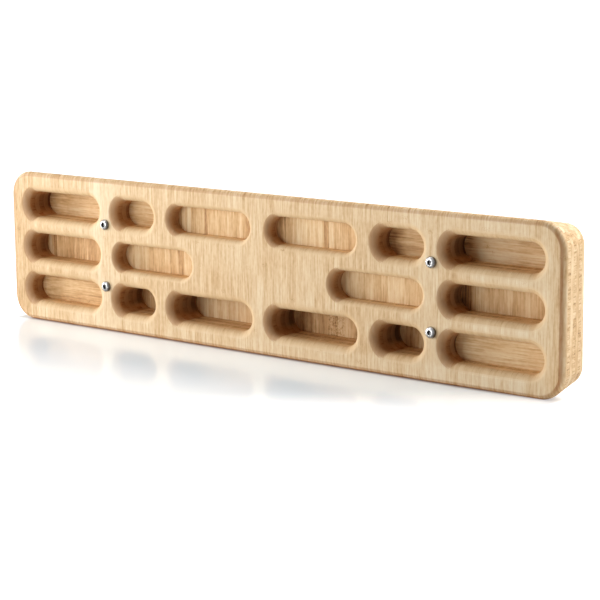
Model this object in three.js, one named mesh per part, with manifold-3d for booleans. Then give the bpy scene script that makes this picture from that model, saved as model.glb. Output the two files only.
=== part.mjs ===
// Wall-mounted finger board for climbing practice: one block of cross-laminated bamboo with rows of
// rounded finger pockets, held to the wall by four button-head screws.
// Millimetres, +Z up, +X along the board. The front faces -Y and the origin is the middle of the
// back face, where the board meets the wall.
import * as THREE from 'three';
import { mergeVertices } from 'three/addons/utils/BufferGeometryUtils.js';
import Module from 'manifold-3d';

// Finger pockets: slots with half-round ends and rounded-over rims, the shallow ones less rounded
const pocketHeight = 26;
const fourFingerLength = 100;
const twoFingerLength = 50;
const rimRadius = 7.5;
const shallowRimRadius = 5;
// The flat face that is left between the rims, and between them and the ends, top and bottom
const landBetweenRows = 1.5;
const landBetweenColumns = 7.5;
const landAtEnds = 13.75;
const landAboveAndBelow = 12;

// Layers of bamboo strips, grain upright in the first and along the board in the next
const plyCount = 7;
const plyThickness = 6;

// The block's rounded corners, and its edges: rolled over in front, then leaning in to the wall
const cornerRadius = 24;
const edgeRadius = 5;
const edgeLeanDeg = 10.3;
const backEasing = 1;

// How deep the pockets go, which is what grades the holds
const innerUpperDepth = 15;
const middleInnerDepth = 17;
const outerLowerDepth = 20;
const pairUpperDepth = 22;
const middleOuterDepth = 28;
const outerUpperDepth = 33;
// What is left behind the deepest ones
const backWall = 4;

// Button-head screws with a hexagon socket
const screwRise = 30.5;
const shankDiameter = 6;
const shankClearance = 0.3;
const shankTipChamfer = 0.8;
const shankTipSetback = 0.5;
const headDiameter = 10.5;
const headHeight = 3.3;
const headRimHeight = 0.6;
const headCrownLand = 0.5;
const socketAcrossFlats = 4;
const socketDepth = 2;

// How finely the curves are divided. An arc of an outline gets twice as many sides as its steps.
const cornerSteps = 3;
const edgeSteps = 4;
const rimSteps = 4;
const pocketEndSteps = 4;
const headSteps = 4;
const turnSides = 18;
const hexagonSides = 6;
const cutOverrun = 1;

// Worked out from the sizes above
const boardThickness = plyCount * plyThickness;
const rowPitch = pocketHeight + 2 * rimRadius + landBetweenRows;
const columnGap = 2 * rimRadius + landBetweenColumns;
const innerColumnEnd = columnGap / 2 + fourFingerLength;
const pairColumnEnd = innerColumnEnd + columnGap + twoFingerLength;
const outerColumnEnd = pairColumnEnd + columnGap + fourFingerLength;
const screwReach = pairColumnEnd + columnGap / 2;
const boardLength = 2 * (outerColumnEnd + rimRadius + landAtEnds);
const boardHeight = 2 * (rowPitch + pocketHeight / 2 + rimRadius + landAboveAndBelow);
const frontY = -boardThickness;
const edgeLean = THREE.MathUtils.degToRad(edgeLeanDeg);

const wasm = await Module();
wasm.setup();

// A closed mesh as a solid for joining and cutting.
function solidFrom(geometry) {
  const plain = geometry.index ? geometry.toNonIndexed() : geometry.clone();
  plain.deleteAttribute('normal');
  plain.deleteAttribute('uv');
  const merged = mergeVertices(plain);
  const mesh = new wasm.Mesh({
    numProp: 3,
    vertProperties: new Float32Array(merged.attributes.position.array),
    triVerts: new Uint32Array(merged.index.array),
  });
  return new wasm.Manifold(mesh);
}

// A solid as a geometry that three.js can draw, each facet flat.
function geometryFrom(solid) {
  const mesh = solid.getMesh();
  const positions = new Float32Array(mesh.numVert * 3);
  for (let i = 0; i < mesh.numVert; i += 1) {
    for (let k = 0; k < 3; k += 1) {
      positions[3 * i + k] = mesh.vertProperties[mesh.numProp * i + k];
    }
  }
  const geometry = new THREE.BufferGeometry();
  geometry.setAttribute('position', new THREE.BufferAttribute(positions, 3));
  geometry.setIndex(Array.from(mesh.triVerts));
  const faceted = geometry.toNonIndexed();
  faceted.computeVertexNormals();
  return faceted;
}

// The points of an outline made of arcs with straight lines between them.
function outlineFrom(arcs, steps) {
  const path = new THREE.Path();
  for (const { x, z, radius, from, to } of arcs) path.absarc(x, z, radius, from, to);
  return path.getPoints(steps);
}

// The block's outline, drawn in by an inset from where it is widest.
function blockOutline(inset) {
  const x = boardLength / 2 - cornerRadius;
  const z = boardHeight / 2 - cornerRadius;
  const corners = [[x, z], [-x, z], [-x, -z], [x, -z]];
  const quarter = Math.PI / 2;
  const arcs = corners.map(([cx, cz], i) => ({
    x: cx,
    z: cz,
    radius: cornerRadius - inset,
    from: i * quarter,
    to: (i + 1) * quarter,
  }));
  return outlineFrom(arcs, cornerSteps);
}

// A slot's outline with half-round ends, let out by so much all round.
function slotOutline(length, letOut) {
  const x = (length - pocketHeight) / 2;
  const radius = pocketHeight / 2 + letOut;
  const quarter = Math.PI / 2;
  const arcs = [
    { x, z: 0, radius, from: -quarter, to: quarter },
    { x: -x, z: 0, radius, from: quarter, to: 3 * quarter },
  ];
  return outlineFrom(arcs, pocketEndSteps);
}

// Skin through a row of outlines of as many points each, closed by a flat face at both ends.
// Each section is an outline and the y where it lies.
function loft(sections) {
  const count = sections[0].outline.length;
  const positions = [];
  for (const section of sections) {
    for (const p of section.outline) positions.push(p.x, section.y, p.y);
  }
  const index = [];
  for (let s = 0; s + 1 < sections.length; s += 1) {
    for (let i = 0; i < count; i += 1) {
      const j = (i + 1) % count;
      const a = s * count + i;
      const b = s * count + j;
      const c = a + count;
      const d = b + count;
      index.push(a, d, b, a, c, d);
    }
  }
  const far = (sections.length - 1) * count;
  for (const [a, b, c] of THREE.ShapeUtils.triangulateShape(sections[0].outline, [])) {
    index.push(a, b, c);
    index.push(far + a, far + c, far + b);
  }
  const geometry = new THREE.BufferGeometry();
  geometry.setAttribute('position', new THREE.Float32BufferAttribute(positions, 3));
  geometry.setIndex(index);
  return geometry;
}

// The whole block before it is pocketed. The roll of its front edge goes on past where the block
// is widest, until it is in line with the leaning edge.
function blockSolid() {
  const angles = Array.from({ length: edgeSteps + 1 }, (_, i) => ((Math.PI / 2) * i) / edgeSteps);
  angles.push(Math.PI / 2 + edgeLean);
  const stations = angles.map((angle) => ({
    depth: edgeRadius * (1 - Math.cos(angle)),
    inset: edgeRadius * (1 - Math.sin(angle)),
  }));
  const tangent = stations[stations.length - 1];
  const leanInset = (depth) => tangent.inset + (depth - tangent.depth) * Math.tan(edgeLean);
  const easedDepth = boardThickness - backEasing;
  stations.push({ depth: easedDepth, inset: leanInset(easedDepth) });
  stations.push({ depth: boardThickness, inset: leanInset(boardThickness) + backEasing });
  const sections = stations.map(({ depth, inset }) => ({
    y: frontY + depth,
    outline: blockOutline(inset),
  }));
  return solidFrom(loft(sections));
}

// What one finger pocket takes away: a rounded rim, straight walls and a flat floor.
function pocketSolid(length, depth, rim) {
  const sections = [{ y: frontY - cutOverrun, outline: slotOutline(length, rim) }];
  for (let i = 0; i <= rimSteps; i += 1) {
    const angle = ((Math.PI / 2) * i) / rimSteps;
    sections.push({
      y: frontY + rim * (1 - Math.cos(angle)),
      outline: slotOutline(length, rim * (1 - Math.sin(angle))),
    });
  }
  sections.push({ y: frontY + depth, outline: slotOutline(length, 0) });
  return solidFrom(loft(sections));
}

// The pockets of the right half, from the outer column inwards: the outer end and the row of
// each, with its length, depth and rim. The left half mirrors them.
function rightPockets() {
  const four = fourFingerLength;
  const two = twoFingerLength;
  const deepest = boardThickness - backWall;
  const rim = rimRadius;
  const lightRim = shallowRimRadius;
  return [
    { end: outerColumnEnd, row: 1, length: four, depth: outerUpperDepth, rim },
    { end: outerColumnEnd, row: 0, length: four, depth: middleOuterDepth, rim },
    { end: outerColumnEnd, row: -1, length: four, depth: outerLowerDepth, rim },
    { end: pairColumnEnd, row: 1, length: two, depth: pairUpperDepth, rim },
    { end: pairColumnEnd, row: 0, length: four, depth: middleInnerDepth, rim: lightRim },
    { end: pairColumnEnd, row: -1, length: two, depth: deepest, rim },
    { end: innerColumnEnd, row: 1, length: four, depth: innerUpperDepth, rim: lightRim },
    { end: innerColumnEnd, row: -1, length: four, depth: deepest, rim },
  ];
}

function pocketCuts() {
  const cuts = [];
  for (const { end, row, length, depth, rim } of rightPockets()) {
    const cut = pocketSolid(length, depth, rim);
    const x = end - length / 2;
    cuts.push(cut.translate([x, 0, row * rowPitch]));
    cuts.push(cut.translate([-x, 0, row * rowPitch]));
  }
  return cuts;
}

// Upper left, upper right, lower left and lower right.
const screwPlaces = [
  { name: 'screw_upper_left', x: -screwReach, z: screwRise },
  { name: 'screw_upper_right', x: screwReach, z: screwRise },
  { name: 'screw_lower_left', x: -screwReach, z: -screwRise },
  { name: 'screw_lower_right', x: screwReach, z: -screwRise },
];

function screwHoleCuts() {
  const radius = shankDiameter / 2 + shankClearance;
  const length = boardThickness + 2 * cutOverrun;
  const hole = new THREE.CylinderGeometry(radius, radius, length, turnSides);
  hole.translate(0, frontY / 2, 0);
  const solid = solidFrom(hole);
  return screwPlaces.map(({ x, z }) => solid.translate([x, 0, z]));
}

// One layer of the pocketed block, counted from the front.
function plyGeometry(block, ply) {
  const slab = new THREE.BoxGeometry(
    boardLength + 2 * cutOverrun,
    plyThickness,
    boardHeight + 2 * cutOverrun,
  );
  slab.translate(0, frontY + (ply + 1 / 2) * plyThickness, 0);
  return geometryFrom(block.intersect(solidFrom(slab)));
}

// Button head and shank, turned about the screw's own axis. The head bears on y = 0.
function screwProfile() {
  const headRadius = headDiameter / 2;
  const crownRadius = socketAcrossFlats / Math.sqrt(3) + headCrownLand;
  const shankRadius = shankDiameter / 2;
  const tip = boardThickness - shankTipSetback;
  const profile = [new THREE.Vector2(0, -headHeight)];
  for (let i = headSteps; i >= 0; i -= 1) {
    const angle = ((Math.PI / 2) * i) / headSteps;
    const out = crownRadius + (headRadius - crownRadius) * Math.cos(angle);
    const rise = headRimHeight + (headHeight - headRimHeight) * Math.sin(angle);
    profile.push(new THREE.Vector2(out, -rise));
  }
  profile.push(new THREE.Vector2(headRadius, 0));
  profile.push(new THREE.Vector2(shankRadius, 0));
  profile.push(new THREE.Vector2(shankRadius, tip - shankTipChamfer));
  profile.push(new THREE.Vector2(shankRadius - shankTipChamfer, tip));
  profile.push(new THREE.Vector2(0, tip));
  return profile;
}

function screwGeometry() {
  const corner = socketAcrossFlats / Math.sqrt(3);
  const length = socketDepth + cutOverrun;
  const socket = new THREE.CylinderGeometry(corner, corner, length, hexagonSides);
  socket.translate(0, socketDepth - headHeight - length / 2, 0);
  const turned = new THREE.LatheGeometry(screwProfile(), turnSides);
  return geometryFrom(solidFrom(turned).subtract(solidFrom(socket)));
}

function uprightBamboo() {
  return new THREE.MeshStandardMaterial({ color: 0xdcb98a, roughness: 0.55, metalness: 0 });
}

function lengthwiseBamboo() {
  return new THREE.MeshStandardMaterial({ color: 0xc99f6c, roughness: 0.6, metalness: 0 });
}

function polishedSteel() {
  return new THREE.MeshStandardMaterial({ color: 0xb9bcc0, roughness: 0.25, metalness: 1 });
}

function addPlies(group) {
  const cuts = [...pocketCuts(), ...screwHoleCuts()];
  const block = cuts.reduce((rest, cut) => rest.subtract(cut), blockSolid());
  const materials = [uprightBamboo(), lengthwiseBamboo()];
  for (let ply = 0; ply < plyCount; ply += 1) {
    const material = materials[ply % materials.length].clone();
    const mesh = new THREE.Mesh(plyGeometry(block, ply), material);
    mesh.name = `ply_${ply + 1}`;
    group.add(mesh);
  }
}

function addScrews(group) {
  const geometry = screwGeometry();
  for (const { name, x, z } of screwPlaces) {
    const screw = new THREE.Mesh(geometry, polishedSteel());
    screw.name = name;
    screw.position.set(x, frontY, z);
    group.add(screw);
  }
}

const group = new THREE.Group();
addPlies(group);
addScrews(group);

export default group;
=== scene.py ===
"""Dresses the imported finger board: fine bamboo plies, steel screws, a pale studio and the camera.

Metres, in the part's own frame: +X along the board, the front facing -Y, +Z up, and the origin in
the middle of the back face. The wood and the steel are worked out in millimetres of that frame.
"""
import math

import bmesh
import bpy
from mathutils import Matrix, Vector
from mathutils.geometry import tessellate_polygon


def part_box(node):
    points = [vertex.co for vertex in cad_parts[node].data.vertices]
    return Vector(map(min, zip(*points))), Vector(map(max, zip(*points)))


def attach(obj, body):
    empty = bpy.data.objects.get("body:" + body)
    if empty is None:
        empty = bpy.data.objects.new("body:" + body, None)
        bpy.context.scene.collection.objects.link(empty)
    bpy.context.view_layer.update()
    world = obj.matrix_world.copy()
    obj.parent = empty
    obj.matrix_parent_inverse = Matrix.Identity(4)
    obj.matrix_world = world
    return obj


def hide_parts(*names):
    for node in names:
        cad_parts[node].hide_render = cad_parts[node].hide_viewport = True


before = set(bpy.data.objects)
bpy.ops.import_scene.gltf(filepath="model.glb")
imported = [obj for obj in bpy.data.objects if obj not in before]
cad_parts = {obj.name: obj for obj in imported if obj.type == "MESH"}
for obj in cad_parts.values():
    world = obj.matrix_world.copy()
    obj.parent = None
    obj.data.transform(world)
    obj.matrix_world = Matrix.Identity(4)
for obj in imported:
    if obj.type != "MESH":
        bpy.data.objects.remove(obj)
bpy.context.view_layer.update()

MM = 0.001


def screw_centre(name):
    """A screw's x and z."""
    low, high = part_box(name)
    return (low.x + high.x) / 2, (low.z + high.z) / 2


# The board's own sizes, from the frame
PLY_NAMES = [f"ply_{i}" for i in range(1, 8)]
SCREW_NAMES = ["screw_upper_left", "screw_upper_right", "screw_lower_left", "screw_lower_right"]
front_low, front_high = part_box("ply_1")
HALF_LENGTH = front_high.x
HALF_HEIGHT = front_high.z
FRONT_Y = front_low.y
PLY_THICKNESS = front_high.y - front_low.y
THICKNESS = -FRONT_Y

# Its corners and edges
CORNER_RADIUS = 24 * MM
EDGE_RADIUS = 5 * MM
EDGE_LEAN = math.radians(10.3)
BACK_EASING = 1 * MM

# Finger pockets
POCKET_HEIGHT = 26 * MM
FOUR_FINGERS = 100 * MM
TWO_FINGERS = 50 * MM
RIM = 7.5 * MM
SHALLOW_RIM = 5 * MM
ROW_PITCH = 42.5 * MM
COLUMN_GAP = 22.5 * MM
INNER_END = COLUMN_GAP / 2 + FOUR_FINGERS
PAIR_END = INNER_END + COLUMN_GAP + TWO_FINGERS
OUTER_END = PAIR_END + COLUMN_GAP + FOUR_FINGERS
BACK_WALL = 4 * MM
DEEPEST = THICKNESS - BACK_WALL
# Outer end, row, length, depth and rim of each pocket of the right half
RIGHT_POCKETS = [
    (OUTER_END, 1, FOUR_FINGERS, 33 * MM, RIM),
    (OUTER_END, 0, FOUR_FINGERS, 28 * MM, RIM),
    (OUTER_END, -1, FOUR_FINGERS, 20 * MM, RIM),
    (PAIR_END, 1, TWO_FINGERS, 22 * MM, RIM),
    (PAIR_END, 0, FOUR_FINGERS, 17 * MM, SHALLOW_RIM),
    (PAIR_END, -1, TWO_FINGERS, DEEPEST, RIM),
    (INNER_END, 1, FOUR_FINGERS, 15 * MM, SHALLOW_RIM),
    (INNER_END, -1, FOUR_FINGERS, DEEPEST, RIM),
]

# Screws
SCREW_HOLE_RADIUS = 3.3 * MM
SHANK_RADIUS = 3 * MM
SHANK_CHAMFER = 0.8 * MM
HEAD_RADIUS = 5.25 * MM
HEAD_RIM_HEIGHT = 0.6 * MM
HEAD_RIM_EASING = 0.2 * MM
CROWN_RADIUS = 2.8 * MM
SOCKET_APOTHEM = 2 * MM
SOCKET_DEPTH = 2 * MM
SOCKET_CHAMFER = 0.2 * MM
SOCKET_CONE = 0.5 * MM
SOCKET_TURNS = [math.radians(a) for a in (8, 31, 17, 49)]
SCREW_X, SCREW_Z = screw_centre("screw_upper_right")
HEAD_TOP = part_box("screw_upper_right")[0].y

# How finely curves are divided
POCKET_END_STEPS = 28
RIM_STEPS = 8
CORNER_STEPS = 16
EDGE_STEPS = 10
EASING_STEPS = 4
HOLE_STEPS = 32
SCREW_SIDES = 48
DOME_STEPS = 8
SMOOTH_ANGLE = math.radians(32)
# Rings closer in depth than the first count as one, and points closer than the second are joined
SAME_DEPTH = MM / 1000
SAME_POINT = MM / 10000


def arc(centre_x, centre_z, radius, start, end, steps):
    angles = [start + (end - start) * i / steps for i in range(steps + 1)]
    return [(centre_x + radius * math.cos(a), centre_z + radius * math.sin(a)) for a in angles]


def board_outline(inset):
    """The board's rounded outline, drawn in by an inset from where it is widest."""
    x = HALF_LENGTH - CORNER_RADIUS
    z = HALF_HEIGHT - CORNER_RADIUS
    points = []
    for i, (cx, cz) in enumerate([(x, z), (-x, z), (-x, -z), (x, -z)]):
        start = i * math.pi / 2
        points += arc(cx, cz, CORNER_RADIUS - inset, start, start + math.pi / 2, CORNER_STEPS)
    return points


def slot_outline(centre_x, centre_z, length, let_out):
    """A slot with half-round ends, let out by so much all round."""
    x = (length - POCKET_HEIGHT) / 2
    radius = POCKET_HEIGHT / 2 + let_out
    quarter = math.pi / 2
    right = arc(centre_x + x, centre_z, radius, -quarter, quarter, POCKET_END_STEPS)
    left = arc(centre_x - x, centre_z, radius, quarter, 3 * quarter, POCKET_END_STEPS)
    return right + left


def edge_inset(depth):
    """How far the board's edge lies inside its widest outline at a depth behind the front."""
    tangent_depth = EDGE_RADIUS * (1 + math.sin(EDGE_LEAN))
    if depth < tangent_depth:
        across = 1 - depth / EDGE_RADIUS
        return EDGE_RADIUS * (1 - math.sqrt(max(0, 1 - across * across)))
    lean = EDGE_RADIUS * (1 - math.cos(EDGE_LEAN))
    lean += (depth - tangent_depth) * math.tan(EDGE_LEAN)
    into_easing = max(0, depth - (THICKNESS - BACK_EASING)) / BACK_EASING
    return lean + BACK_EASING * (1 - math.sqrt(max(0, 1 - into_easing * into_easing)))


def edge_depths():
    """Depths of the rings that divide the edge's front roll and its eased back corner."""
    turn = math.pi / 2 + EDGE_LEAN
    roll = [EDGE_RADIUS * (1 - math.cos(turn * i / EDGE_STEPS)) for i in range(EDGE_STEPS + 1)]
    turns = [math.pi / 2 * i / EASING_STEPS for i in range(EASING_STEPS)]
    return roll + [THICKNESS - BACK_EASING + math.sin(a) * BACK_EASING for a in turns]


class Cut:
    """Something that goes into the board from the front.

    outline(depth) gives its outline there, and depths are where its rim is divided.
    """

    def __init__(self, outline, depths, depth):
        self.outline = outline
        self.depths = depths
        self.depth = depth


def pocket_cut(centre_x, centre_z, length, depth, rim):
    def outline(at):
        left = max(0, rim - at)
        let_out = rim - math.sqrt(rim * rim - left * left)
        return slot_outline(centre_x, centre_z, length, let_out)

    turns = [math.pi / 2 * i / RIM_STEPS for i in range(RIM_STEPS + 1)]
    return Cut(outline, [rim * (1 - math.cos(turn)) for turn in turns], depth)


def screw_hole_cut(centre_x, centre_z):
    circle = arc(centre_x, centre_z, SCREW_HOLE_RADIUS, 0, 2 * math.pi, HOLE_STEPS)[:-1]
    return Cut(lambda at: circle, [], THICKNESS)


def all_cuts():
    cuts = []
    for end, row, length, depth, rim in RIGHT_POCKETS:
        for side in (-1, 1):
            centre_x = side * (end - length / 2)
            cuts.append(pocket_cut(centre_x, row * ROW_PITCH, length, depth, rim))
    for name in SCREW_NAMES:
        cuts.append(screw_hole_cut(*screw_centre(name)))
    return cuts


def between(depths, near, far):
    """near, the given depths that lie between near and far, and far."""
    inner = [d for d in depths if near + SAME_DEPTH < d < far - SAME_DEPTH]
    return [near, *inner, far]


class MeshMaker:
    """Collects rings of points, the skins between them and the flat faces that close them."""

    def __init__(self):
        self.verts = []
        self.faces = []

    def ring(self, outline, y):
        start = len(self.verts)
        self.verts += [(x, y, z) for x, z in outline]
        return list(range(start, len(self.verts)))

    def skin(self, rings):
        for a, b in zip(rings, rings[1:]):
            for i in range(len(a)):
                j = (i + 1) % len(a)
                self.faces.append((a[i], a[j], b[j], b[i]))

    def flat(self, loops):
        """A flat face inside the first loop and outside the others."""
        outlines = [[self.verts[i] for i in loop] for loop in loops]
        corners = [[Vector((x, z, 0)) for x, _, z in outline] for outline in outlines]
        order = [i for loop in loops for i in loop]
        for triangle in tessellate_polygon(corners):
            self.faces.append(tuple(order[k] for k in triangle))

    def finish(self, name, material):
        mesh = bpy.data.meshes.new(name)
        mesh.from_pydata(self.verts, [], self.faces)
        work = bmesh.new()
        work.from_mesh(mesh)
        bmesh.ops.remove_doubles(work, verts=work.verts, dist=SAME_POINT)
        bmesh.ops.recalc_face_normals(work, faces=work.faces)
        work.to_mesh(mesh)
        work.free()
        mesh.shade_smooth()
        mesh.set_sharp_from_angle(angle=SMOOTH_ANGLE)
        mesh.materials.append(material)
        piece = bpy.data.objects.new(name, mesh)
        bpy.context.scene.collection.objects.link(piece)
        normals = piece.modifiers.new("flat_faces_stay_flat", "WEIGHTED_NORMAL")
        normals.keep_sharp = True
        return piece


def ply_piece(index, cuts, material):
    near = index * PLY_THICKNESS
    far = near + PLY_THICKNESS
    maker = MeshMaker()
    edge = [
        maker.ring(board_outline(edge_inset(d)), FRONT_Y + d)
        for d in between(edge_depths(), near, far)
    ]
    maker.skin(edge)
    front_loops = [edge[0]]
    back_loops = [edge[-1]]
    for cut in cuts:
        if cut.depth <= near:
            continue
        end = min(far, cut.depth)
        rings = [maker.ring(cut.outline(d), FRONT_Y + d) for d in between(cut.depths, near, end)]
        maker.skin(rings)
        front_loops.append(rings[0])
        if cut.depth < far:
            maker.flat([rings[-1]])
        else:
            back_loops.append(rings[-1])
    maker.flat(front_loops)
    maker.flat(back_loops)
    return maker.finish(f"bamboo_{PLY_NAMES[index]}", material)


def hexagon_radius(angle, apothem):
    """Distance from the middle of a hexagon to its side in a direction."""
    sixth = math.pi / 3
    return apothem / math.cos((angle % sixth) - sixth / 2)


def screw_piece(name, turn, material):
    """A button-head screw, as rings from the tip of its shank to the bottom of its socket."""
    low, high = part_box(name)
    centre_x, centre_z = screw_centre(name)
    top = low.y
    tip = high.y
    angles = [2 * math.pi * i / SCREW_SIDES for i in range(SCREW_SIDES)]

    def circle(radius):
        return [radius] * SCREW_SIDES

    def hexagon(apothem):
        return [hexagon_radius(a, apothem) for a in angles]

    sections = [
        (tip, circle(SHANK_RADIUS - SHANK_CHAMFER)),
        (tip - SHANK_CHAMFER, circle(SHANK_RADIUS)),
        (FRONT_Y, circle(SHANK_RADIUS)),
        (FRONT_Y, circle(HEAD_RADIUS - HEAD_RIM_EASING)),
        (FRONT_Y - HEAD_RIM_EASING, circle(HEAD_RADIUS)),
    ]
    dome = FRONT_Y - top - HEAD_RIM_HEIGHT
    for i in range(DOME_STEPS + 1):
        a = math.pi / 2 * i / DOME_STEPS
        radius = CROWN_RADIUS + (HEAD_RADIUS - CROWN_RADIUS) * math.cos(a)
        sections.append((FRONT_Y - HEAD_RIM_HEIGHT - dome * math.sin(a), circle(radius)))
    sections += [
        (top, hexagon(SOCKET_APOTHEM + SOCKET_CHAMFER)),
        (top + SOCKET_CHAMFER, hexagon(SOCKET_APOTHEM)),
        (top + SOCKET_DEPTH, hexagon(SOCKET_APOTHEM)),
        (top + SOCKET_DEPTH, circle(SOCKET_APOTHEM - SOCKET_CHAMFER)),
        (top + SOCKET_DEPTH + SOCKET_CONE, circle(SOCKET_CHAMFER)),
    ]
    maker = MeshMaker()
    rings = []
    for y, radii in sections:
        outline = [
            (centre_x + r * math.cos(a + turn), centre_z + r * math.sin(a + turn))
            for a, r in zip(angles, radii)
        ]
        rings.append(maker.ring(outline, y))
    maker.skin(rings)
    maker.flat([rings[0]])
    maker.flat([rings[-1]])
    return maker.finish(f"steel_{name}", material)


# Materials


def srgb(red, green, blue):
    """A colour written as it looks on a screen, 0 to 255, as the linear one the shaders take."""
    def linear(level):
        c = level / 255
        return c / 12.92 if c <= 0.04045 else ((c + 0.055) / 1.055) ** 2.4
    return (linear(red), linear(green), linear(blue), 1)


class Shader:
    """Short names for making and joining shader nodes. A value given is a number or a socket."""

    def __init__(self, name):
        self.material = bpy.data.materials.new(name)
        self.material.use_nodes = True
        self.tree = self.material.node_tree
        self.surface = self.tree.nodes["Principled BSDF"]

    def put(self, value, socket):
        if isinstance(value, bpy.types.NodeSocket):
            self.tree.links.new(value, socket)
        else:
            socket.default_value = value

    def set(self, name, value):
        self.put(value, self.surface.inputs[name])

    def node(self, kind, **settings):
        made = self.tree.nodes.new(kind)
        for key, value in settings.items():
            setattr(made, key, value)
        return made

    def math(self, operation, a, b=0.0, c=0.0, clamp=False):
        made = self.node("ShaderNodeMath", operation=operation, use_clamp=clamp)
        for socket, value in zip(made.inputs, (a, b, c)):
            self.put(value, socket)
        return made.outputs[0]

    def product(self, first, *others):
        for other in others:
            first = self.math("MULTIPLY", first, other)
        return first

    def absolute(self, value):
        return self.math("ABSOLUTE", value)

    def ramp(self, value, span, to_low=0.0, to_high=1.0, smooth=True):
        """value, where the span's low to high becomes to_low to to_high, and no further."""
        made = self.node("ShaderNodeMapRange", clamp=True)
        made.interpolation_type = "SMOOTHSTEP" if smooth else "LINEAR"
        for socket, number in zip(made.inputs, (value, *span, to_low, to_high)):
            self.put(number, socket)
        return made.outputs[0]

    def fall(self, value, span):
        """1 up to the span's low, 0 from its high."""
        return self.ramp(value, span, 1.0, 0.0)

    def band(self, value, span, soft):
        """1 where value lies in the span, 0 outside, with soft edges."""
        low, high = span
        rising = self.ramp(value, (low - soft, low + soft))
        return self.product(rising, self.fall(value, (high - soft, high + soft)))

    def vector(self, x, y, z):
        made = self.node("ShaderNodeCombineXYZ")
        for socket, value in zip(made.inputs, (x, y, z)):
            self.put(value, socket)
        return made.outputs[0]

    def scaled(self, vector, factor):
        made = self.node("ShaderNodeVectorMath", operation="SCALE")
        self.put(vector, made.inputs[0])
        self.put(factor, made.inputs["Scale"])
        return made.outputs[0]

    def place(self):
        """A point's place in the part's own frame, in metres."""
        return self.node("ShaderNodeTexCoord").outputs["Object"]

    def normal(self, kind):
        return self.split(self.node("ShaderNodeNewGeometry").outputs[kind])

    def noise(self, vector, detail=2.0, roughness=0.5):
        made = self.node("ShaderNodeTexNoise")
        self.put(vector, made.inputs["Vector"])
        self.put(1.0, made.inputs["Scale"])
        self.put(detail, made.inputs["Detail"])
        self.put(roughness, made.inputs["Roughness"])
        return made.outputs["Fac"]

    def split(self, vector):
        """The x, y and z of a vector."""
        made = self.node("ShaderNodeSeparateXYZ")
        self.put(vector, made.inputs[0])
        return made.outputs

    def random(self, x, y):
        """Three random numbers from 0 to 1 that hold for a pair of whole numbers."""
        made = self.node("ShaderNodeTexWhiteNoise", noise_dimensions="2D")
        self.put(self.vector(x, y, 0.0), made.inputs["Vector"])
        apart = self.node("ShaderNodeSeparateColor")
        self.put(made.outputs["Color"], apart.inputs[0])
        return apart.outputs

    def mix(self, factor, a, b, blend="MIX"):
        made = self.node("ShaderNodeMix", data_type="RGBA", blend_type=blend)
        self.put(factor, made.inputs[0])
        self.put(a, made.inputs[6])
        self.put(b, made.inputs[7])
        return made.outputs[2]


# The span that most of a noise lies in
MOST_OF_NOISE = (0.3, 0.7)

# Bamboo. Its colour is looked up by a tone from 0, darkest, to 1, lightest
BAMBOO_COLOURS = [
    (0.0, srgb(104, 68, 38)),
    (0.25, srgb(172, 124, 76)),
    (0.5, srgb(214, 175, 126)),
    (0.72, srgb(233, 202, 158)),
    (1.0, srgb(247, 226, 192)),
]
ROUTED_TINT = (1.0, 0.965, 0.88, 1.0)
# Colour of the painted shade on the rolled edge, the rims that face right and the underside
PAINTED_SHADE_COLOUR = srgb(164, 84, 12)
# Colour of the router scorch and painted shade on the pocket walls
SCORCH_AND_SHADE_COLOUR = srgb(84, 54, 32)
BAMBOO_SHEEN = 0.3
BAMBOO_ROUGHNESS = (0.50, 0.62)
BUMP_STRENGTH = 0.22
BUMP_DISTANCE = 0.12 * MM

# Noises: changes per mm across the grain, along it and into the board, then detail and roughness
FIBRES = {
    "fine": (0.66, 0.036, 0.12, 3.0, 0.66),
    "coarse": (0.25, 0.020, 0.06, 2.0, 0.55),
    "broad": (0.030, 0.010, 0.05, 2.0, 0.5),
    "hair": (1.6, 0.03, 0.4, 2.0, 0.5),
    "mottle": (0.4, 0.22, 0.2, 2.0, 0.5),
    "specks": (1.1, 0.9, 1.1, 2.0, 0.6),
    "pores": (1.5, 0.1, 1.5, 2.0, 0.6),
}
HAIRLINES = (0.60, 0.70)
NODE_SPECKS = (0.48, 0.62)
PORES = (0.52, 0.64)

# Slats, in mm or as a share of a slat's width. The sway makes their widths uneven
SLAT_WIDTH = 6.4
SWAY = 16.0
SWAY_ACROSS = 0.07
SWAY_ALONG = 0.0015
SLATS_SHIFT_PER_PLY = 7.3
SEAM = (0.03, 0.08)
DARK_SLATS = (0.90, 0.92)

# Nodes of the cane, in mm or as a share of the way from one to the next
NODE_PITCH = 420.0
NODE_WIDTH = (0.002, 0.007)

# Glue lines, as a share of a ply, and the depths in mm between which they show
GLUE_LINE = (0.015, 0.05)
GLUE_STARTS = (1.0, 2.0)
GLUE_ENDS = (40.0, 41.0)

# How the parts of the surface are told apart: by place in mm, or by one part of the normal
END_GRAIN_FACING = (0.5, 0.95)
POCKETS_LENGTH = (313.0, 316.0)
POCKETS_HEIGHT = (62.0, 63.5)
ROUTED_STARTS = (3.0, 9.0)
ROUTED_ENDS = (39.5, 41.0)
FLOOR_FACING = (0.9, 0.99)
FACE_FACING = (0.990, 0.998)
RIM_ENDS = (6.0, 9.0)
WALL_FACING_UP_OR_DOWN = (0.4, 0.9)

# Painted shade on the rolled edge, the rims that face right and the underside, and how strong it is
# from the low to the high of its span
ROLL_DEPTH = (0.15, 2.3)
ROLL_AT_END = (318.0, 320.0)
ROLL_PAINTED_SHADE = (0.28, 0.54)
LEFT_RIM_FACING = (0.07, 0.16)
LEFT_RIM_DEPTH = (0.3, 7.0)
LEFT_RIM_PAINTED_SHADE = (0.38, 0.5)
UNDERSIDE_FACING = (-0.7, -0.3)
UNDERSIDE_Z = (-74.0, -72.0)
UNDERSIDE_PAINTED_SHADE = 0.7
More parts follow.
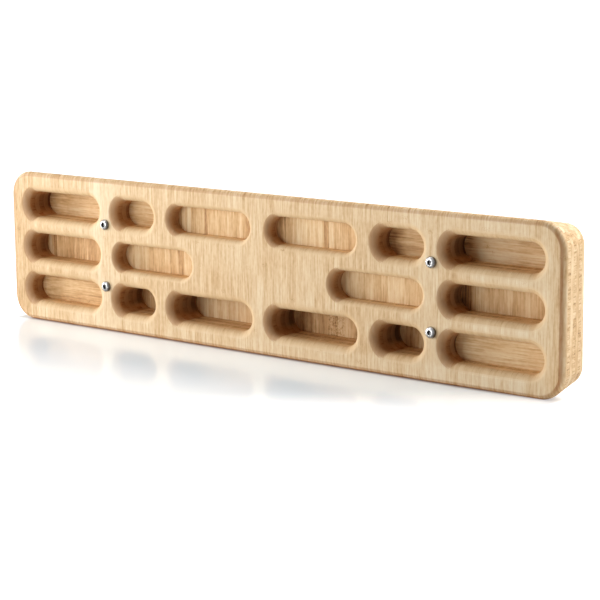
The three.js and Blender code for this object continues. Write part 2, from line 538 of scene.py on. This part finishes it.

# Router scorch and painted shade on the pocket walls, darker deeper in and towards the right, in
# the same way
SCORCH_AND_SHADE_DEPTH = (3.0, 30.0)
SCORCH_AND_SHADE_STRENGTH = (0.0, 0.80)
PAINTED_SHADE_ALONG_BOARD = (0.0, 200.0)
PAINTED_SHADE_TO_RIGHT = (1.0, 1.35)
SCORCH_AND_SHADE_OF_END_GRAIN = (0.80, 1.04)

# Tone without features, and how much lighter each feature makes it at its full
BASE_TONE = 0.68
LIGHTER = {
    "slat": 0.13,
    "dark_slat_on_floor": -0.05,
    "streak": 1.0,
    "coarse": 0.45,
    "broad": 0.35,
    "mottle": 0.28,
    "hairline": -0.10,
    "node": -0.22,
    "seam": -0.03,
    "glue": -0.16,
    "end_grain": -0.03,
    "pores": -0.20,
    "seam_in_end_grain": -0.18,
    "routed_floor": -0.05,
    "routed_wall": -0.02,
    "end_grain_in_wall": -0.10,
}
# How much more a slat's own tone counts on the pocket floors
FLOOR_SLAT_UPRIGHT = 0.17
FLOOR_SLAT_LENGTHWISE = 0.04
# On the rims: what is left of the streaks, and how far the tone is drawn to the base tone
STREAK_ON_RIM = 0.5
RIM_CALM = 0.45

# How far each feature stands out of the surface, for the bump
RELIEF = {"streak": 1.0, "hairline": -0.4, "node": -0.4, "glue": -0.8, "pores": -0.8}

# Where marks lie: z from and to, and depth from and to, in mm
INNER_UPPER_FLOOR = ((25, 60), (14, 16))
INNER_MIDDLE_FLOOR = ((-20, 20), (16, 18))
PAIR_UPPER_FLOOR = ((25, 60), (21, 23))
DEEPEST_FLOOR = ((-60, -25), (37, 39))
OUTER_UPPER_FLOOR = ((25, 60), (32, 34))
OUTER_MIDDLE_FLOOR = ((-20, 20), (27, 29))
OUTER_LOWER_FLOOR = ((-60, -25), (19, 21))
FACE = (-1, 1)
WHOLE_FACE = ((-80, 80), FACE)

# Marks: where they lie, x from and to in mm, the softness of their edges, and how much lighter
MARKS = [
    # Single slats and lines on the floors
    (INNER_UPPER_FLOOR, (66.0, 71.5), 0.5, -0.34),
    (INNER_UPPER_FLOOR, (18.6, 19.8), 0.4, 0.12),
    (INNER_UPPER_FLOOR, (20.2, 21.2), 0.4, -0.12),
    (INNER_UPPER_FLOOR, (22.0, 23.2), 0.4, 0.12),
    (INNER_UPPER_FLOOR, (46.5, 47.2), 0.3, -0.10),
    (INNER_UPPER_FLOOR, (-100, -95.5), 0.6, 0.24),
    (INNER_MIDDLE_FLOOR, (-200, -148), 0.8, 0.10),
    (INNER_MIDDLE_FLOOR, (-148, -146.5), 0.4, -0.08),
    (INNER_MIDDLE_FLOOR, (-126, -118), 1.2, -0.20),
    (OUTER_MIDDLE_FLOOR, (-243, -242), 0.3, -0.22),
    # Specks and a wedge on the face
    (((14, 26), FACE), (152, 155), 1.0, -0.07),
    (((-57.5, -56.5), FACE), (-289.6, -288.6), 0.4, -0.20),
    (((-58.5, -57.5), FACE), (-112.5, -111.5), 0.4, -0.20),
    # Broad tones of the face, partly the wood's own and partly painted light and shade
    (WHOLE_FACE, (-335, -302), 8, -0.18),
    (WHOLE_FACE, (-217, -173), 9, 0.11),
    (WHOLE_FACE, (116, 236), 14, 0.04),
    (WHOLE_FACE, (236, 314), 12, 0.13),
    (((-74, -58), FACE), (-290, 290), 4, 0.07),
    (((-28, -15), FACE), (190, 310), 4, 0.06),
    (((-58, 60), FACE), (112, 133), 3, -0.07),
    # Broad tones of the floors, partly the wood's own and partly painted light and shade
    (OUTER_UPPER_FLOOR, (190, 300), 0.5, 0.09),
    (OUTER_MIDDLE_FLOOR, (190, 300), 0.5, 0.06),
    (OUTER_LOWER_FLOOR, (190, 300), 0.5, 0.05),
    (OUTER_MIDDLE_FLOOR, (-300, -190), 0.5, -0.18),
    (OUTER_LOWER_FLOOR, (-300, -190), 0.5, -0.09),
    (INNER_MIDDLE_FLOOR, (60, 180), 0.5, 0.08),
    (OUTER_UPPER_FLOOR, (190, 262), 6, 0.15),
    (INNER_UPPER_FLOOR, (28, 56), 2, 0.19),
    (INNER_UPPER_FLOOR, (76, 96), 3, -0.08),
    (INNER_UPPER_FLOOR, (-95, -74), 2, -0.17),
    (INNER_UPPER_FLOOR, (-62, -22), 3, 0.12),
    (DEEPEST_FLOOR, (-112, -48), 3, 0.18),
    (DEEPEST_FLOOR, (-40, -8), 3, -0.27),
    (OUTER_UPPER_FLOOR, (-275, -225), 3, 0.07),
    (INNER_MIDDLE_FLOOR, (160, 180), 3, 0.05),
    (INNER_MIDDLE_FLOOR, (80, 125), 3, 0.06),
    # Painted shadow that the left walls cast on the left ends of the right half's floors
    (OUTER_UPPER_FLOOR, (190, 216), 5, -0.45),
    (OUTER_MIDDLE_FLOOR, (190, 216), 5, -0.45),
    (OUTER_LOWER_FLOOR, (190, 209), 4, -0.25),
    (INNER_UPPER_FLOOR, (5, 30), 5, -0.16),
    (DEEPEST_FLOOR, (5, 32), 5, -0.25),
    (PAIR_UPPER_FLOOR, (117, 150), 5, -0.18),
]
DEPTH_SOFTNESS = 0.1

# Patches of dark specks on the upright plies, as x, z and depth from and to in mm
SPECKLED = [
    ((52, 71), (-56, -29), (37, 39)),
    ((27.5, 33.5), (25, 27), FACE),
]
SPECKLED_SOFTNESS_X = 1.5
SPECKLED_SOFTNESS_Z = 0.5
BLOTS_PER_MM = 0.6
BLOTS = (0.50, 0.58)
BLOTS_LIGHTER = -0.26


def bamboo(name, grain_upright):
    """Laminated bamboo as a solid: slats side by side in plies, their fibres along the grain."""
    s = Shader(name)
    in_mm = s.scaled(s.place(), 1 / MM)
    x, y, z = s.split(in_mm)
    across, along = (x, z) if grain_upright else (z, x)
    depth = s.math("ADD", y, THICKNESS / MM)
    normal_x, normal_y, normal_z = s.normal("True Normal")
    end_grain = s.ramp(s.absolute(normal_z if grain_upright else normal_x), END_GRAIN_FACING)
    plies_in = s.math("DIVIDE", depth, PLY_THICKNESS / MM)
    ply = s.math("FLOOR", plies_in)

    def fibres(key):
        across_scale, along_scale, depth_scale, detail, roughness = FIBRES[key]
        place = s.vector(
            s.product(across, across_scale),
            s.product(along, along_scale),
            s.product(depth, depth_scale),
        )
        return s.noise(place, detail, roughness)

    def less_half(value):
        return s.math("SUBTRACT", value, 0.5)

    def added(level, value, weight):
        return s.math("MULTIPLY_ADD", value, weight, level)

    # What the router has cut into: the pockets' rims, walls and floors
    within_length = s.fall(s.absolute(x), POCKETS_LENGTH)
    within_height = s.fall(s.absolute(z), POCKETS_HEIGHT)
    inside_edge = s.product(within_length, within_height)
    routed = s.product(inside_edge, s.ramp(depth, ROUTED_STARTS), s.fall(depth, ROUTED_ENDS))
    floor_on = s.ramp(s.absolute(normal_y), FLOOR_FACING)
    routed_wall = s.product(routed, s.math("SUBTRACT", 1.0, floor_on))
    routed_floor = s.product(routed, floor_on)
    off_face = s.fall(s.absolute(normal_y), FACE_FACING)
    on_rim = s.product(inside_edge, off_face)

    # Painted shade: the rolled edge, the rims that face right and the underside, darker than the
    # sanded face
    outer = s.product(off_face, s.math("SUBTRACT", 1.0, inside_edge), s.fall(depth, ROLL_DEPTH))
    outer = s.product(outer, s.ramp(s.absolute(x), ROLL_AT_END, *ROLL_PAINTED_SHADE))
    left_rim = s.product(s.ramp(normal_x, LEFT_RIM_FACING), inside_edge)
    left_rim = s.product(left_rim, s.ramp(depth, LEFT_RIM_DEPTH, *LEFT_RIM_PAINTED_SHADE))
    underside = s.ramp(normal_z, UNDERSIDE_FACING, UNDERSIDE_PAINTED_SHADE, 0.0)
    underside = s.product(underside, s.fall(z, UNDERSIDE_Z))
    painted_shade = s.math("ADD", s.math("MAXIMUM", outer, underside), left_rim)

    # Slats of uneven width, each with a tone of its own
    sway = s.noise(s.vector(s.product(across, SWAY_ACROSS), s.product(along, SWAY_ALONG), ply))
    slat_at = s.math("DIVIDE", added(across, sway, SWAY), SLAT_WIDTH)
    slat_at = added(slat_at, ply, SLATS_SHIFT_PER_PLY)
    slat = s.math("FLOOR", slat_at)
    across_slat = s.math("FRACT", slat_at)
    slat_tone, node_phase, odd_one = s.random(slat, ply)
    to_seam = s.math("MINIMUM", across_slat, s.math("SUBTRACT", 1.0, across_slat))
    seam = s.fall(to_seam, SEAM)
    dark_slat = s.ramp(odd_one, DARK_SLATS)

    # Fine streaks along the grain, softer on the rims
    fine = fibres("fine")
    streak = s.product(less_half(fine), s.ramp(on_rim, (0.0, 1.0), 1.0, STREAK_ON_RIM))

    # Nodes of the cane: a short row of specks across a slat every so often
    node_at = s.math("ADD", s.math("DIVIDE", along, NODE_PITCH), node_phase)
    from_node = s.absolute(less_half(s.math("FRACT", node_at)))
    node = s.product(s.fall(from_node, NODE_WIDTH), s.ramp(fibres("specks"), NODE_SPECKS))

    # Glue lines between the plies
    in_ply = s.math("FRACT", plies_in)
    to_glue = s.math("MINIMUM", in_ply, s.math("SUBTRACT", 1.0, in_ply))
    glue = s.product(s.ramp(depth, GLUE_STARTS), s.fall(depth, GLUE_ENDS))
    glue = s.product(s.fall(to_glue, GLUE_LINE), glue)

    features = {
        "slat": less_half(slat_tone),
        "dark_slat_on_floor": s.product(dark_slat, routed_floor),
        "streak": streak,
        "coarse": less_half(fibres("coarse")),
        "broad": less_half(fibres("broad")),
        "mottle": less_half(fibres("mottle")),
        "hairline": s.ramp(fibres("hair"), HAIRLINES),
        "node": node,
        "seam": seam,
        "glue": glue,
        "end_grain": end_grain,
        "pores": s.product(s.ramp(fibres("pores"), PORES), end_grain),
        "seam_in_end_grain": s.product(seam, end_grain),
        "routed_floor": routed_floor,
        "routed_wall": routed_wall,
        "end_grain_in_wall": s.product(routed_wall, end_grain),
    }
    tone = BASE_TONE
    for feature, value in features.items():
        tone = added(tone, value, LIGHTER[feature])
    floor_slat = FLOOR_SLAT_UPRIGHT if grain_upright else FLOOR_SLAT_LENGTHWISE
    tone = added(tone, s.product(less_half(slat_tone), routed_floor), floor_slat)
    calm = s.product(on_rim, s.fall(depth, RIM_ENDS), RIM_CALM)
    tone = added(tone, s.math("SUBTRACT", BASE_TONE, tone), calm)

    def marked(span_x, span_z, span_depth, soft_x, soft_z):
        on_surface = s.band(depth, span_depth, DEPTH_SOFTNESS)
        return s.product(s.band(x, span_x, soft_x), s.band(z, span_z, soft_z), on_surface)

    for (span_z, span_depth), span_x, soft, lighter in MARKS:
        mark = marked(span_x, span_z, span_depth, soft, soft)
        tone = added(tone, s.product(mark, floor_on), lighter)
    if grain_upright:
        blots = s.ramp(s.noise(s.scaled(in_mm, BLOTS_PER_MM), roughness=0.6), BLOTS)
        for spans in SPECKLED:
            mark = marked(*spans, SPECKLED_SOFTNESS_X, SPECKLED_SOFTNESS_Z)
            tone = added(tone, s.product(mark, blots), BLOTS_LIGHTER)

    # Colour
    colours = s.node("ShaderNodeValToRGB")
    s.put(tone, colours.inputs[0])
    steps = colours.color_ramp.elements
    darkest, *middle, lightest = BAMBOO_COLOURS
    steps[0].position, steps[0].color = darkest
    steps[1].position, steps[1].color = lightest
    for position, colour in middle:
        steps.new(position).color = colour
    sideways = s.fall(s.absolute(normal_z), WALL_FACING_UP_OR_DOWN)
    # Router scorch with painted shade on the pockets' side walls, darker deeper in and towards the
    # right
    scorch_and_shade = s.product(s.ramp(depth, SCORCH_AND_SHADE_DEPTH, *SCORCH_AND_SHADE_STRENGTH, smooth=False), routed_wall, sideways)
    darker = s.product(
        s.ramp(x, PAINTED_SHADE_ALONG_BOARD, *PAINTED_SHADE_TO_RIGHT),
        s.ramp(end_grain, (0.0, 1.0), *SCORCH_AND_SHADE_OF_END_GRAIN),
    )
    scorch_and_shade = s.math("MULTIPLY", scorch_and_shade, darker, clamp=True)
    colour = s.mix(routed, colours.outputs[0], ROUTED_TINT, "MULTIPLY")
    # Painted shade on the rolled edge, the rims that face right and the underside
    colour = s.mix(painted_shade, colour, PAINTED_SHADE_COLOUR)
    # Router scorch with painted shade on the pocket walls
    s.set("Base Color", s.mix(scorch_and_shade, colour, SCORCH_AND_SHADE_COLOUR))
    s.set("Roughness", s.ramp(fine, MOST_OF_NOISE, *BAMBOO_ROUGHNESS))
    s.set("Specular IOR Level", BAMBOO_SHEEN)

    relief = 0.0
    for feature, height in RELIEF.items():
        relief = added(relief, features[feature], height)
    bump = s.node("ShaderNodeBump")
    s.put(BUMP_STRENGTH, bump.inputs["Strength"])
    s.put(BUMP_DISTANCE, bump.inputs["Distance"])
    s.put(relief, bump.inputs["Height"])
    s.set("Normal", bump.outputs[0])
    return s.material


# Steel: its clean and smudged greys, and the painted shade of its right flank and its socket
STEEL = srgb(190, 190, 190)
SMUDGED_STEEL = srgb(142, 142, 142)
PAINTED_SHADE_FLANK_STEEL = srgb(92, 90, 88)
PAINTED_SHADE_SOCKET_STEEL = srgb(90, 90, 90)
STEEL_ROUGHNESS = (0.16, 0.30)
SMUDGES = (0.35, 0.7)
FLANK_FACING = (0.25, 0.8)
FLANK_PAINTED_SHADE = 0.85
SOCKET_STARTS = (HEAD_TOP / MM + 0.25, HEAD_TOP / MM + 0.6)
SOCKET_RADIUS = (2.3, 2.5)


def steel():
    """Polished stainless steel, with painted shade on its right flank and inside its socket."""
    s = Shader("steel")
    in_mm = s.scaled(s.place(), 1 / MM)
    x, y, z = s.split(in_mm)
    smudge = s.noise(in_mm, detail=3.0, roughness=0.6)
    grey = s.mix(s.ramp(smudge, SMUDGES), STEEL, SMUDGED_STEEL)
    # Painted shade on the right flank
    facing_right = s.normal("Normal")[0]
    painted_flank_shade = s.ramp(facing_right, FLANK_FACING, 0.0, FLANK_PAINTED_SHADE)
    grey = s.mix(painted_flank_shade, grey, PAINTED_SHADE_FLANK_STEEL)
    # Painted shade inside the socket
    off_x = s.math("SUBTRACT", s.absolute(x), SCREW_X / MM)
    off_z = s.math("SUBTRACT", s.absolute(z), SCREW_Z / MM)
    radius = s.math("SQRT", s.math("ADD", s.product(off_x, off_x), s.product(off_z, off_z)))
    painted_socket_shade = s.product(s.ramp(y, SOCKET_STARTS), s.fall(radius, SOCKET_RADIUS))
    s.set("Base Color", s.mix(painted_socket_shade, grey, PAINTED_SHADE_SOCKET_STEEL))
    s.set("Roughness", s.ramp(smudge, MOST_OF_NOISE, *STEEL_ROUGHNESS))
    s.set("Metallic", 1.0)
    return s.material


def make_board():
    slots = ["bamboo_upright", "bamboo_lengthwise"]
    materials = [bamboo(slots[0], True), bamboo(slots[1], False)]
    cuts = all_cuts()
    for index, node in enumerate(PLY_NAMES):
        piece = ply_piece(index, cuts, materials[index % 2])
        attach(piece, "root")
        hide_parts(node)


def make_screws():
    material = steel()
    for name, turn in zip(SCREW_NAMES, SOCKET_TURNS):
        piece = screw_piece(name, turn, material)
        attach(piece, "root")
        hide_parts(name)


# Studio

FLOOR_Z = -HALF_HEIGHT
FLOOR_SIZE = 60.0
FLOOR_COLOUR = srgb(235, 237, 238)
FLOOR_ROUGHNESS = 0.12
FLOOR_SHEEN = 0.5
# What the floor adds for the camera: far off, near the board, and where the board stands. Less near
# the board is a painted soft shadow, and least where it stands a painted dark contact line
GLOW_FAR = (0.8, 0.8, 0.8, 1)
GLOW_IN_PAINTED_SHADOW = (0.29, 0.34, 0.37, 1)
GLOW_IN_PAINTED_CONTACT_SHADOW = (0.02, 0.02, 0.02, 1)
# Where those meet, in metres ahead of the front face or along the board
NEAR_ENDS = (0.15, 0.30)
NEAR_LEFT_END = (-0.42, -0.30)
DRAWN_IN_FROM = 0.05
DRAWN_IN = 0.9
BEHIND_ENDS = (-0.03, -0.01)
AHEAD_STARTS = (0.0, 0.008)
BESIDE_BOARD = (-0.325, 0.322)
BESIDE_SOFTNESS = 0.004
CONTACT = (-0.004, 0.005)


def make_floor():
    mesh = bpy.data.meshes.new("floor")
    half = FLOOR_SIZE / 2
    corners = [(-half, -half), (half, -half), (half, half), (-half, half)]
    mesh.from_pydata([(x, y, FLOOR_Z) for x, y in corners], [], [(0, 1, 2, 3)])
    floor = bpy.data.objects.new("floor", mesh)
    bpy.context.scene.collection.objects.link(floor)
    s = Shader("pale_floor")
    s.set("Base Color", FLOOR_COLOUR)
    s.set("Roughness", FLOOR_ROUGHNESS)
    s.set("Specular IOR Level", FLOOR_SHEEN)
    x, y, _ = s.split(s.place())
    ahead = s.math("SUBTRACT", FRONT_Y, y)
    to_right = s.math("MAXIMUM", s.math("SUBTRACT", x, DRAWN_IN_FROM), 0.0)
    drawn_in = s.math("MULTIPLY_ADD", to_right, DRAWN_IN, ahead)
    near = s.product(s.fall(drawn_in, NEAR_ENDS), s.ramp(x, NEAR_LEFT_END))
    beside = s.band(x, BESIDE_BOARD, BESIDE_SOFTNESS)
    in_front = s.math("MAXIMUM", s.ramp(ahead, AHEAD_STARTS), beside)
    near = s.product(near, in_front, s.ramp(ahead, BEHIND_ENDS))
    # Painted soft shadow round the board and painted contact line under it, through which the
    # floor's lamp-lit shadow and reflection show
    painted_shadow_glow = s.mix(s.ramp(ahead, CONTACT), GLOW_IN_PAINTED_CONTACT_SHADOW, GLOW_IN_PAINTED_SHADOW)
    s.set("Emission Color", s.mix(near, GLOW_FAR, painted_shadow_glow))
    s.set("Emission Strength", s.node("ShaderNodeLightPath").outputs["Is Camera Ray"])
    mesh.materials.append(s.material)


def make_world():
    """White to the camera, in reflections and through glass, and black to every other ray."""
    world = bpy.data.worlds.new("studio")
    bpy.context.scene.world = world
    world.use_nodes = True
    tree = world.node_tree
    path = tree.nodes.new("ShaderNodeLightPath")
    seen = path.outputs["Is Camera Ray"]
    for ray in ("Is Glossy Ray", "Is Transmission Ray"):
        either = tree.nodes.new("ShaderNodeMath")
        either.operation = "MAXIMUM"
        tree.links.new(seen, either.inputs[0])
        tree.links.new(path.outputs[ray], either.inputs[1])
        seen = either.outputs[0]
    background = tree.nodes["Background"]
    background.inputs["Color"].default_value = (1, 1, 1, 1)
    tree.links.new(seen, background.inputs["Strength"])


# Lamps: where each stands, what it faces, its width and height in metres, and its watts
LAMPS = {
    "key_far": ((-2.03, -1.14, 0.30), (0.1, FRONT_Y, 0), 0.50, 0.80, 18.5),
    "key_side": ((-0.99, -0.40, 0.15), (0.1, FRONT_Y, 0), 0.16, 0.50, 2.6),
    "key_middle": ((-0.66, -0.91, 0.15), (0.1, FRONT_Y, 0), 0.20, 0.50, 2.1),
    "key_near": ((-0.40, -1.07, 0.15), (0.15, FRONT_Y, 0), 0.25, 0.50, 2.9),
    "high": ((-0.50, -0.65, 1.10), (0, FRONT_Y, 0), 0.50, 0.50, 2.8),
    "top": ((0, 0.05, 1.30), (0, 0, 0), 0.80, 0.60, 2.5),
    "rear": ((1.15, 0.22, 0.25), (0.33, -0.02, 0), 0.40, 0.40, 2.4),
    "rear_high": ((0.60, 0.70, 0.90), (0.20, -0.02, 0), 0.50, 0.50, 16.5),
}


def make_lights():
    for name, (place, target, width, height, watts) in LAMPS.items():
        data = bpy.data.lights.new(name, "AREA")
        data.shape = "RECTANGLE"
        data.size = width
        data.size_y = height
        data.energy = watts
        lamp = bpy.data.objects.new(name, data)
        lamp.location = place
        lamp.rotation_mode = "QUATERNION"
        lamp.rotation_quaternion = (Vector(target) - Vector(place)).to_track_quat("-Z", "Y")
        bpy.context.scene.collection.objects.link(lamp)


# The camera that the photograph's perspective gives, for an image of 600 x 600
FOCAL_PIXELS = 2006.205
IMAGE_PIXELS = 600
CAMERA_PLACE = (1.179714, -1.376897 + FRONT_Y, 0.379594 + FLOOR_Z)
CAMERA_YAW = 0.687241
CAMERA_PITCH = 0.179066
CAMERA_ROLL = -0.009654
SENSOR_MM = 36
CLIP_END = 100


def make_camera():
    data = bpy.data.cameras.new("camera")
    data.sensor_width = SENSOR_MM
    data.lens = FOCAL_PIXELS / IMAGE_PIXELS * SENSOR_MM
    data.dof.use_dof = False
    data.clip_end = CLIP_END
    camera = bpy.data.objects.new("camera", data)
    ahead = Vector((
        -math.sin(CAMERA_YAW) * math.cos(CAMERA_PITCH),
        math.cos(CAMERA_YAW) * math.cos(CAMERA_PITCH),
        -math.sin(CAMERA_PITCH),
    ))
    right = Vector((math.cos(CAMERA_YAW), math.sin(CAMERA_YAW), 0))
    up = right.cross(ahead)
    rolled_right = math.cos(CAMERA_ROLL) * right + math.sin(CAMERA_ROLL) * up
    rolled_up = math.cos(CAMERA_ROLL) * up - math.sin(CAMERA_ROLL) * right
    axes = Matrix((rolled_right, rolled_up, -ahead)).transposed()
    camera.matrix_world = Matrix.Translation(CAMERA_PLACE) @ axes.to_4x4()
    bpy.context.scene.collection.objects.link(camera)
    bpy.context.scene.camera = camera


make_camera()
make_board()
make_screws()
make_floor()
make_world()
make_lights()
bpy.context.scene.view_settings.view_transform = "Standard"
